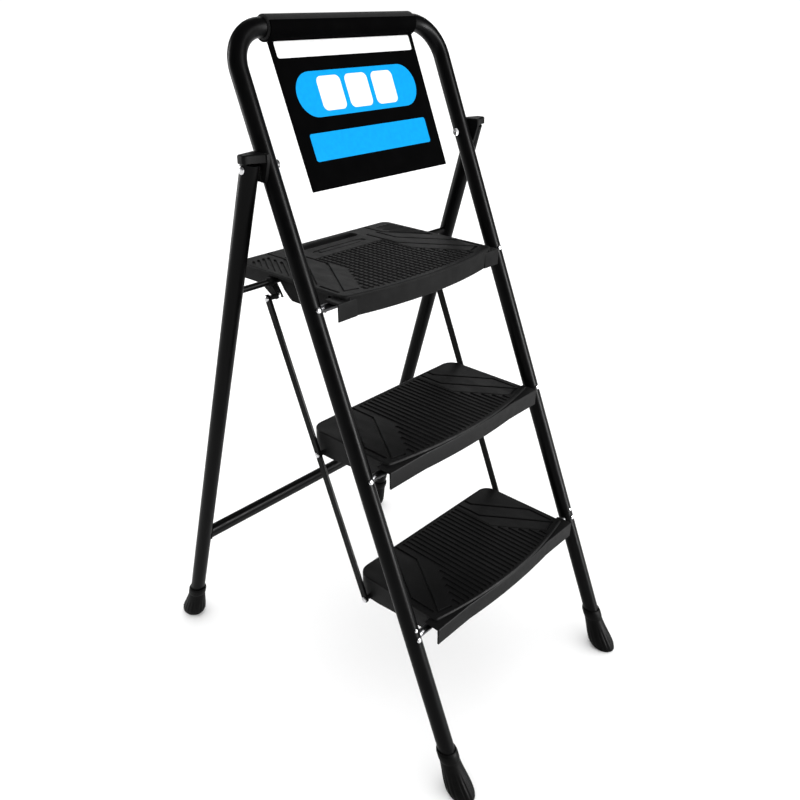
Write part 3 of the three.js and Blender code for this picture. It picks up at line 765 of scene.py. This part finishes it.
def foot(side, node_name, body, axis_line, outward_y):
    """A rubber foot: a collar, a waist and a fluted bulb that flares away from the ladder."""
    low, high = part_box(node_name)
    height = high.z - low.z
    count = 108
    ground = on_side(axis_line(0), side)
    lean_x, lean_y = on_side(axis_line(1) - axis_line(0), side).xy
    flute_span = FOOT.flute_high - FOOT.flute_low
    rings = []
    for z, radius in FOOT_PROFILE:
        swell = max(0.0, 1 - z / height) ** 2
        socket = radius < TUBE_RADIUS + 2 * GAP
        fade = sin(pi * min(max((z - FOOT.flute_low) / flute_span, 0), 1)) ** 0.5
        ring = []
        for i in range(count):
            turn = 2 * pi * i / count
            wave = (0.5 + 0.5 * cos(FOOT.flutes * turn)) ** 2
            reach = radius if socket else radius - FOOT.flute_deep * fade * wave
            x = reach * cos(turn)
            y = reach * sin(turn) / rail_direction.z
            if not socket:
                y = y * (1 + FOOT.stretch * swell) + outward_y * FOOT.toe * swell
            ring.append(ground + Vector((x + lean_x * z, y + lean_y * z, z)))
        rings.append(ring)
    piece(f"{node_name}_moulded", loft(rings), body, "foot_rubber", [node_name], smooth=50)


def feet():
    for name, side in SIDES:
        foot(side, f"front_foot_{name}", "front", rail_axis, -1)
        foot(side, f"rear_foot_{name}", "rear", leg_axis, 1)


# ---------------- cross bar and its welds


def cross_bar():
    """The oval bar between the rear legs, with a weld bead at each end."""
    centre = rod_centre("rear_cross_bar")
    half = leg_axis(centre.z).x
    lean_back = atan2(leg_direction.y, leg_direction.z)
    turn = Matrix.Translation(centre) @ Matrix.Rotation(-lean_back, 4, "X")

    def oval(shrink):
        radius = CROSS_BAR.deep / 2 - shrink
        rise = (CROSS_BAR.tall - CROSS_BAR.deep) / 2
        return arc((0, rise), radius, 0, 180, 16) + arc((0, -rise), radius, 180, 360, 16)

    def bead_ring(middle, out, radius):
        turns = [2 * pi * j / 10 for j in range(10)]
        return [middle + out * (radius * cos(t)) + X_AXIS * (radius * sin(t)) for t in turns]

    def end_x(y, side):
        """Where the bar's surface meets the leg, at distance y across the bar."""
        reach = TUBE_RADIUS + GAP
        return side * (half - sqrt(max(reach ** 2 - min(abs(y), reach * 0.999) ** 2, 0)))

    rings = []
    for shrink, side in ((0, -1), (0, 1), (CROSS_BAR.wall, 1), (CROSS_BAR.wall, -1)):
        rings.append([turn @ Vector((end_x(y, side), y, z)) for y, z in oval(shrink)])
    bar = loft(rings, closed=True)
    piece("rear_cross_bar_oval", bar, "rear", "rail_steel", ["rear_cross_bar"], smooth=50)

    for name, side in SIDES:
        bead = []
        for i, (y, z) in enumerate(oval(-WELD.sunk)):
            radius = WELD.radius + WELD.ripple * sin(i * 2 * pi / 3)
            middle = Vector((end_x(y, side) - side * WELD.inboard, y, z))
            out = Vector((0, y, z)).normalized()
            bead.append([turn @ point for point in bead_ring(middle, out, radius)])
        piece(f"cross_bar_weld_{name}", loft(bead, closed=True), "rear", "rail_steel", smooth=60)


# ---------------- hinge brackets and link bars


def brackets():
    """A cheek on the rail and a cap that narrows outwards over the rear leg's top."""
    for name, side in SIDES:
        node_name = f"hinge_bracket_{name}"
        low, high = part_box(node_name)
        inner, outer = (low.x, high.x) if side > 0 else (-high.x, -low.x)
        front, back = low.y - hinge_place.y, high.y - hinge_place.y
        top, bottom = high.z - hinge_place.z, low.z - hinge_place.z
        reach = outer - inner
        cheek = leg_half_at_hinge - TUBE_RADIUS - GAP - inner
        soft, cap_low = BRACKET.soft, BRACKET.cap_low
        pocket_radius = TUBE_RADIUS + BRACKET.pocket_room

        def cap_outline(shrink):
            points = [(inner + shrink, front + shrink), (inner + reach * 0.78, front * 0.56 + shrink)]
            points += arc((outer - 0.0062, -0.0072), 0.0062 - shrink, -62, 0, 8)
            points += arc((outer - 0.0072, -0.0008), 0.0072 - shrink, 0, 66, 8)
            points += [(inner + reach * 0.6, back * 0.62 - shrink), (inner + shrink, back - shrink)]
            return points

        levels = [(0.0008, cap_low), (0, cap_low + 0.0008), (0, top - soft), *rolled(soft, top, 7)]
        cheek_outline = [
            (front, top - 0.001), (front, cap_low), (-0.0145, bottom + 0.002), (-0.0125, bottom),
            (0.0095, bottom), (0.0115, bottom + 0.002), (back, cap_low), (back, top - 0.001),
        ]
        plate = side_plate(cheek_outline, inner, inner + cheek)
        pocket_profile = [(BRACKET.pocket_low, pocket_radius), (BRACKET.pocket_high, pocket_radius)]
        pocket = lathe(pocket_profile, X_AXIS * leg_half_at_hinge, Z_AXIS, 48)
        bore = lathe([(-0.005, HINGE_PIN.bore), (0.015, HINGE_PIN.bore)], X_AXIS * inner, X_AXIS, 32)
        mesh = cut(joined(plate, layered(cap_outline, levels)), pocket, bore)
        if side < 0:
            mesh = mirror_x(mesh)
        mesh.transform(Matrix.Translation(Vector((0, hinge_place.y, hinge_place.z))))
        piece(f"{node_name}_moulded", mesh, "front", "bracket_plastic", [node_name], smooth=35)


def link_bars():
    """Flat bars with round ends and softened edges."""
    half_wide, soft = LINK_BAR_WIDE / 2, 0.0008
    for name, _ in SIDES:
        node_name = f"link_bar_{name}"
        low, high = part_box(node_name)
        face = (high.x - low.x) / 2
        offset = joint_places[f"link_{name}_pivot"] - rod_places["platform"]
        pins = [rod_places[key] + offset for key in ("platform", "step_2", "step_1")]
        distances = [(pin - pins[-1]).yz.length for pin in pins]

        def outline(shrink):
            low_end = arc((0, 0), half_wide - shrink, 180, 360, 12)
            return low_end + arc((0, distances[0]), half_wide - shrink, 0, 180, 12)

        levels = [(soft, -face), (0, -face + soft), (0, face - soft), (soft, face)]
        mesh = loft([[Vector((x, y, z)) for y, z in outline(shrink)] for shrink, x in levels])
        hole = [(-0.005, LINK_PIN_RADIUS + GAP), (0.005, LINK_PIN_RADIUS + GAP)]
        mesh = cut(mesh, merged([lathe(hole, Z_AXIS * distance, X_AXIS, 24) for distance in distances]))
        place = Vector(((low.x + high.x) / 2, pins[-1].y, pins[-1].z))
        lean(mesh, place, rail_lean)
        piece(f"{node_name}_flat", mesh, f"link_{name}", "bar_steel", [node_name], smooth=30)


# ---------------- treads
# Drawn about their own rod: x across, y back from the rod's axis, z up from it.

REAR_STEPS = 10             # the segments of each rounded rear corner


def tread_sizes(node_name, rod, sizes):
    """A tread's sizes with those that its box gives."""
    low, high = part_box(node_name)
    return Sizes(**sizes, ear_half=high.x, top=high.z - rod.z, back=high.y - rod.y, bow=rod.y - low.y)


def rear_corners(half, back, corner):
    x, y = half - corner, back - corner
    return arc((x, y), corner, 0, 90, REAR_STEPS) + arc((-x, y), corner, 90, 180, REAR_STEPS)


def arc_radius(half_chord, sagitta):
    return (half_chord ** 2 + sagitta ** 2) / (2 * sagitta)


def lip_arc(size):
    """The radius of the deck's front edge and the y of its centre."""
    radius = arc_radius(size.lip_reach, size.lip_sagitta)
    return radius, radius - size.lip_front


def skirt_outline(size, inset):
    """The whole tread from above, ears and bowed front included."""
    half, back, corner = size.half - inset, size.back - inset, size.corner - inset
    ear_half, ear_front, ear_back = size.ear_half - inset, size.ear_front - inset, size.ear_back - inset
    bow_radius = arc_radius(size.bow_half, size.bow - size.ear_front)
    centre = bow_radius - size.bow
    radius = bow_radius - inset
    swing = degrees(acos((centre + ear_front) / radius))
    points = [(half, ear_back), *rear_corners(half, back, corner), (-half, ear_back)]
    points += [(-ear_half, ear_back), (-ear_half, -ear_front)]
    points += arc((0, centre), radius, -90 - swing, -90 + swing, 40)
    points += [(ear_half, -ear_front), (ear_half, ear_back)]
    return points


def deck_outline(size, inset):
    """The raised deck from above: its front edge is the lip's arc, rounded into straight sides."""
    half, back, corner = size.half - inset, size.back - inset, size.corner - inset
    radius, centre = lip_arc(size)
    fillet = size.lip_corner
    fillet_x = size.half - fillet
    fillet_y = centre - sqrt((radius - fillet) ** 2 - fillet_x ** 2)
    meet = degrees(atan2(fillet_y - centre, fillet_x))
    points = rear_corners(half, back, corner)
    points += arc((-fillet_x, fillet_y), fillet - inset, 180, 180 - meet, 8)
    points += arc((0, centre), radius - inset, -180 - meet, meet, 48)[1:-1]
    points += arc((fillet_x, fillet_y), fillet - inset, meet, 0, 8)
    return points


def deck(size):
    edge, top = size.edge, size.top
    under = top - size.plate
    levels = [(0.0004, under), (0.0, under + 0.0004), (0.0, top - edge), *rolled(edge, top, 6)]
    return layered(partial(deck_outline, size), levels)


def lip_bead(size):
    """A low round bead just behind the deck's front edge."""
    radius, inset = 0.0013, 0.0022
    front = deck_outline(size, inset)[2 * (REAR_STEPS + 1):]
    path = flat_ring(front, size.top - radius * 0.45)
    return loft([circle(at, along, radius, 12, Z_AXIS) for at, along in zip(path, headings(path))])


def skirt(size):
    """The wall round a step's edge, with a rounded top edge and slightly drafted sides."""
    top, bottom = size.top - size.ear_drop, size.top - size.rear_drop
    edge, wall = 0.0018, size.wall
    profile = [(0.0006, bottom), (0.0003, bottom + 0.0006), (0.0, top - edge), *rolled(edge, top, 5)]
    profile += [(wall, top), (wall, bottom + 0.0005), (wall - 0.0005, bottom)]
    return layered(partial(skirt_outline, size), profile, closed=True)


def wall_ring(size, outline, bottom, draft):
    """A drafted wall that follows an outline, up to just under the deck's rounded edge."""
    wall = size.wall
    top = size.top - size.edge - 0.0002
    profile = [(draft + 0.0003, bottom), (draft, bottom + 0.0006), (0.00005, top)]
    profile += [(wall, top), (wall, bottom + 0.0005), (wall - 0.0005, bottom)]
    return layered(partial(outline, size), profile, closed=True)


def ledge(size):
    """The flat top that joins a step's wall to its deck, lower than the deck."""
    drop = size.ear_drop
    outline = skirt_outline(size, size.wall - 0.0008)
    return loft([flat_ring(outline, z) for z in (size.top - size.plate - drop * 0.4, size.top - drop)])


def rib_field(size):
    """Cutters for the sunk field and the grooves between its ribs."""
    top, back, margin = size.top, size.back, size.field_margin
    half, wide = size.field_half, size.field_wide
    rear, bend, end = size.field_rear, size.field_bend, size.field_end
    radius, centre = lip_arc(size)
    pitch, deep, sunk = RIB.pitch, RIB.deep, RIB.sunk

    def front_y(x, from_lip):
        return centre - sqrt((radius - from_lip) ** 2 - x ** 2)

    def cross_reach(y):
        """How far a groove across the field runs from the middle at y."""
        widest = half + max(0.0, back - bend - y) * (wide - half) / (end - bend)
        within_lip = (radius - margin) ** 2 - (centre - y) ** 2
        return min(widest, wide, sqrt(max(within_lip, 0.0)))

    count = int(wide / pitch)
    grooves = []
    for index in range(-count, count + 1):
        x = index * pitch
        beyond = max(0.0, abs(x) - half)
        if beyond:
            start = bend + beyond * (end - bend) / (wide - half) + 0.003
        else:
            start = rear + size.groove / 2
        stop = front_y(x, margin)
        if back - start - stop > 0.004:
            grooves.append(groove([(x, back - start), (x, stop)], size.groove, deep, RIB.chamfer, top))
    cutters = [merged(grooves)]
    if size.lattice:
        across = []
        for index in range(int((end - rear) / pitch) + 4):
            y = back - rear - pitch * (index + 0.6)
            reach = cross_reach(y)
            if reach > 0.01:
                across.append(groove([(-reach, y), (reach, y)], CROSS_GROOVE, deep, RIB.chamfer, top))
        cutters.append(merged(across))

    rim, steps = 0.003, 24      # the sunk field is this much wider than its grooves
    rear_y, bend_y, end_y = back - rear + 0.001, back - bend, back - end
    field = [(half + rim, rear_y), (-half - rim, rear_y), (-half - rim, bend_y), (-wide - rim, end_y)]
    for i in range(steps + 1):
        x = -wide + 0.002 + (2 * wide - 0.004) * i / steps
        field.append((x, front_y(x, margin - 0.004)))
    field += [(wide + rim, end_y), (half + rim, bend_y)]
    return [loft([flat_ring(field, z) for z in (top - sunk, top + sunk)]), *cutters]


def line_grooves(size, lines):
    cutters = []
    for line in lines:
        for _, side in SIDES:
            points = [(side * x, size.back - forward) for x, forward in line]
            cutters.append(groove(points, LINE.wide, LINE.deep, LINE.chamfer, size.top))
    return cutters


def tick_lines():
    """Short slanting lines at the platform's rear corners."""
    outer, slope = SIDE_TICKS.outer, SIDE_TICKS.slope
    lines = []
    for index in range(SIDE_TICKS.count):
        outer_at = SIDE_TICKS.first + SIDE_TICKS.pitch * index
        inner = max(SIDE_TICKS.inner, outer - (outer_at - SIDE_TICKS.rear) / slope)
        lines.append(((inner, outer_at - (outer - inner) * slope), (outer, outer_at)))
    return lines


def rod_passage(size):
    """The way for the front rod, open downwards."""
    reach = 0.0066
    outline = arc((0, 0), reach, 0, 180, 16) + [(-reach, -size.rear_drop), (reach, -size.rear_drop)]
    return side_plate(outline, -size.ear_half - 0.001, size.ear_half + 0.001)


def channel_walls(size):
    """The two walls beside the front rod."""
    under = size.top - size.plate + OVERLAP
    reach = size.half - size.wall + OVERLAP
    thick = 0.0025
    starts = (-CHANNEL_HALF - thick, CHANNEL_HALF)
    return [box(-reach, reach, y, y + thick, size.channel_low, under) for y in starts]


def open_ears(size):
    """Clears the ears' ends and undersides behind their front walls."""
    under = size.top - size.ear_drop - 0.0028
    front, back = size.wall - size.ear_front, size.ear_back + 0.001
    ends = [span(side, size.half - size.wall - 0.001, size.ear_half + 0.001) for _, side in SIDES]
    return merged([box(*pair, front, back, -size.rear_drop, under) for pair in ends])


def ear_blocks(size):
    """The platform's ears: flat-fronted blocks with soft edges, and the hollows below them."""
    start, soft, skin = size.ear_start, 0.0028, 0.0028
    top = size.top - size.ear_drop
    levels = [(0.0, size.top - size.front_drop), (0.0, top - soft), *rolled(soft, top, 5)]
    blocks, hollows = [], []
    for _, side in SIDES:
        def outline(inset):
            near, far, front = start + inset, size.ear_half - inset, -size.ear_front + inset
            corners = ((near, size.ear_back), (near, front), (far, front), (far, size.ear_back))
            return [(side * x, y) for x, y in corners]

        blocks.append(layered(outline, levels))
        ends = span(side, start + 0.003, size.ear_half + 0.001)
        hollows.append(box(*ends, -size.ear_front + 0.002, size.ear_back + 0.001, -0.06, top - skin))
    return blocks, hollows


def pin_lathes(profile, start, count):
    """A profile turned about the link pin's axis on each side, outwards from a distance."""
    place = joint_places["link_right_pivot"] - rod_places["platform"]
    starts = [(Vector((side * start, place.y, place.z)), X_AXIS * side) for _, side in SIDES]
    return [lathe(profile, at, axis, count) for at, axis in starts]


def pin_bosses(size):
    """Bosses on the treads' sides that carry the link pins."""
    start = size.half - 0.001
    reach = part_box("link_bar_right")[0].x - GAP - start
    profile = [(0, 0.0042), (reach * 0.3, 0.0042), (reach - 0.0006, 0.0036), (reach, 0.0032)]
    return pin_lathes(profile, start, 28)


def pin_holes(size):
    radius = LINK_PIN_RADIUS + GAP
    return merged(pin_lathes([(0, radius), (0.032, radius)], size.half - 0.012, 24))


def under_ribs(size, y_end, cross_places, half):
    """The web of ribs under the plate."""
    low, high = size.top - size.rib_drop, size.top - size.plate + OVERLAP
    thin = 0.0011
    bars = [box(x - thin, x + thin, -size.ear_front + 0.001, y_end, low, high)
            for x in (-0.125, -0.075, -0.025, 0.025, 0.075, 0.125)]
    bars += [box(-half, half, y - thin, y + thin, low, high) for y in cross_places]
    return bars


def step_tread(name):
    node_name = f"step_tread_{name[-1]}"
    size = tread_sizes(node_name, rod_places[name], TREAD)
    bottom = size.top - size.rear_drop
    front_z = size.top - size.front_drop
    slope_start, slope_end = 0.020, 0.118
    trim = [(-FAR, -FAR), (slope_end, -FAR), (slope_end, bottom), (slope_start, front_z), (-FAR, front_z)]
    wall = wall_ring(size, skirt_outline, bottom, 0.0003)
    body = joined(
        skirt(size),
        ledge(size),
        kept(wall, size.ear_back + 0.004, FAR),
        deck(size),
        lip_bead(size),
        *under_ribs(size, size.back - 0.001, (0.050, 0.092), size.half - 0.001),
        *channel_walls(size),
        *pin_bosses(size),
    )
    body = cut(
        body,
        side_plate(trim, -FAR, FAR),
        rod_passage(size),
        open_ears(size),
        pin_holes(size),
        *rib_field(size),
        *line_grooves(size, STEP_LINES),
    )
    body.transform(Matrix.Translation(rod_places[name]))
    piece(f"{name}_moulding", body, name, "step_plastic", [node_name], smooth=28)


def platform_tread():
    size = tread_sizes("platform_tread", rod_places["platform"], PLATFORM)
    top, back, half, wall = size.top, size.back, size.half, size.wall
    bottom = top - size.rear_drop
    under = top - size.plate + OVERLAP
    front = -size.ear_front + 0.001
    rear_rod = rod_centre("rear_rod") - rod_places["platform"]
    rear_start = rear_rod.y + rod_radius("rear_rod") + 0.003

    wall_x = half - size.wall_inset - wall
    wall_low = top - size.wall_drop
    wall_outline = [
        (front, under), (front, -0.009), (0.022, -0.009), (0.028, wall_low), (0.118, wall_low),
        (0.160, -0.020), (0.160, under),
    ]
    lug_outline = [
        (rear_start, under), (rear_start, 0.002), (0.1305, -0.017), (0.1305, -0.022), (0.134, -0.0245),
        (0.1385, -0.0235), (0.170, bottom + OVERLAP), (0.170, under),
    ]
    walls = []
    for _, side in SIDES:
        walls.append(side_plate(wall_outline, *span(side, wall_x, wall_x + wall)))
        walls.append(side_plate(lug_outline, *span(side, half - wall, half)))
    ears, hollows = ear_blocks(size)
    body = joined(
        front_wall(size),
        kept(wall_ring(size, deck_outline, top - size.lip_deep, 0.0002), -0.03, FAR),
        kept(wall_ring(size, deck_outline, bottom, 0.0002), rear_start, FAR),
        deck(size),
        lip_bead(size),
        *walls,
        *under_ribs(size, back - 0.040, (0.076, back - 0.042), wall_x + 0.001),
        *channel_walls(size),
        *ears,
        *pin_bosses(size),
    )
    body = cut(
        body,
        *hollows,
        rod_passage(size),
        rear_rod_way(rear_rod, rod_radius("rear_rod")),
        hand_slot(size),
        open_ears(size),
        pin_holes(size),
        *rib_field(size),
        *line_grooves(size, PLATFORM_LINES),
        *line_grooves(size, tick_lines()),
        handle_recess(size),
    )
    body = joined(body, handle_bar(size))
    body.transform(Matrix.Translation(rod_places["platform"]))
    piece("platform_moulding", body, "platform", "platform_plastic", ["platform_tread"], smooth=28)


def front_wall(size):
    """The bowed front wall between the ears: it hangs straight from the lip and leans in a little."""
    bottom, top = size.top - size.front_drop, size.top - size.edge
    wall = size.wall
    profile = [(0.0026, bottom), (0.0020, bottom + 0.0008), (0.0004, top)]
    profile += [(wall, top), (wall + 0.0015, bottom + 0.0005), (wall + 0.0010, bottom)]
    ring = layered(partial(deck_outline, size), profile, closed=True)
    return kept(ring, -FAR, -0.016, size.half)


def rear_rod_way(rod, radius):
    """The way by which the rear rod leaves the platform as the ladder closes."""
    y, z = rod.y, rod.z
    clear = radius + 0.0016
    outline = arc((y, z), radius + GAP, 0, 148, 16)
    path = ((-0.010 - clear, -0.013), (-0.022 - clear, -0.024), (-0.048 - clear, -0.039), (-0.048, -0.058),
            (-0.015, -0.034), (-0.005, -0.0184), (0.0032, -0.0064))
    outline += [(y + across, z + up) for across, up in path]
    return side_plate(outline, -FAR, FAR)


def hand_slot(size):
    """The rounded slot at the rear, with a softened mouth."""
    radius = size.slot_wide / 2
    y = size.back - size.slot_from_back
    reach = size.slot_half - radius
    top, soft = size.top, 0.0016

    def outline(grow):
        return arc((reach, y), radius + grow, -90, 90, 14) + arc((-reach, y), radius + grow, 90, 270, 14)

    return layered(outline, [(0, -0.06), (0, top - soft), *rolled(soft, top, 5), (soft, top + 0.002)])


def handle_recess(size):
    """The shallow recess between the hand slot and the ribs."""
    y = size.back - HANDLE.from_back
    ends = [(-HANDLE.recess_half, y), (HANDLE.recess_half, y)]
    return groove(ends, HANDLE.recess_wide, HANDLE.recess_deep, LINE.chamfer, size.top)


def handle_bar(size):
    """A raised bar with sloping ends inside the recess."""
    y = size.back - HANDLE.from_back
    ends = [(-HANDLE.bar_half, y), (HANDLE.bar_half, y)]
    levels = [(0.0062, size.top - 0.0022), (0.0056, size.top - 0.0006), (0.0048, size.top - 0.0002)]
    return layered(partial(stroke, ends), levels)


# ---------------- the ladder

front_frame()
rear_legs()
rods()
rod_collars()
rail_rivets()
hinge_rivets()
foam_grip()
info_board()
board_print()
feet()
cross_bar()
brackets()
link_bars()
step_tread("step_1")
step_tread("step_2")
platform_tread()

# ---------------- camera, floor and light


def make_camera():
    """At the height of the hand rail, to the left of the front, looking down."""
    data = bpy.data.cameras.new("camera")
    data.lens = CAMERA.lens
    data.sensor_width = CAMERA.sensor
    camera = add_object("camera", data)
    camera.location = CAMERA.place
    camera.rotation_euler = (radians(90 - CAMERA.down), 0, radians(-CAMERA.turned))
    bpy.context.scene.camera = camera


def make_floor():
    """A wide white floor."""
    reach = 60.0
    outline = arc((0, 0), reach, 0, 360, 96)[:-1]
    mesh = mesh_of([Vector((x, y, 0)) for x, y in outline], [tuple(range(len(outline)))], "floor")

    def build(tree, shader):
        put(shader, Specular_IOR_Level=0.1, Roughness=0.8)
        mottle(tree, shader, object_noise(tree, 2.0, 2), grey(0.92, 0), grey(0.94, 0))

    mesh.materials.append(material("pale_floor", build))
    add_object("floor", mesh)


def gloss_light(name, size):
    """An area light, aimed at the ladder's middle, that shows only in its gloss."""
    data = bpy.data.lights.new(name, "AREA")
    data.shape = "RECTANGLE"
    data.size, data.size_y = size.wide, size.high
    data.energy = size.power
    light = add_object(name, data)
    light.location = size.place
    light.visible_diffuse = False
    middle = (cad_bounds[0] + cad_bounds[1]) / 2
    light.rotation_euler = (middle - Vector(size.place)).to_track_quat("-Z", "Y").to_euler()


def make_world():
    """A white surround behind the ladder that lights it only dimly."""
    world = bpy.data.worlds.new("studio")
    world.use_nodes = True
    tree = world.node_tree
    white = (1, 1, 1, 1)
    surround = tree.nodes["Background"]
    put(surround, Color=white, Strength=WORLD_LIGHT)
    seen = node(tree, "ShaderNodeBackground", Color=white, Strength=SEEN_LIGHT)
    choose = node(tree, "ShaderNodeMixShader", Fac=node(tree, "ShaderNodeLightPath").outputs["Is Camera Ray"])
    tree.links.new(surround.outputs["Background"], choose.inputs[1])
    tree.links.new(seen.outputs["Background"], choose.inputs[2])
    put(tree.nodes["World Output"], Surface=choose.outputs["Shader"])
    bpy.context.scene.world = world


def make_lights():
    """Three lights for the gloss and a wide soft ceiling for the rest."""
    for name, size in GLOSS_LIGHTS.items():
        gloss_light(name, size)
    data = bpy.data.lights.new("ceiling", "SUN")
    data.energy = CEILING.power
    data.angle = radians(CEILING.angle)
    ceiling = add_object("ceiling", data)
    ceiling.rotation_euler = (radians(CEILING.tilt), 0, radians(CEILING.turned))
    ceiling.visible_glossy = False


make_camera()
make_floor()
make_world()
make_lights()
bpy.context.scene.view_settings.view_transform = "Standard"
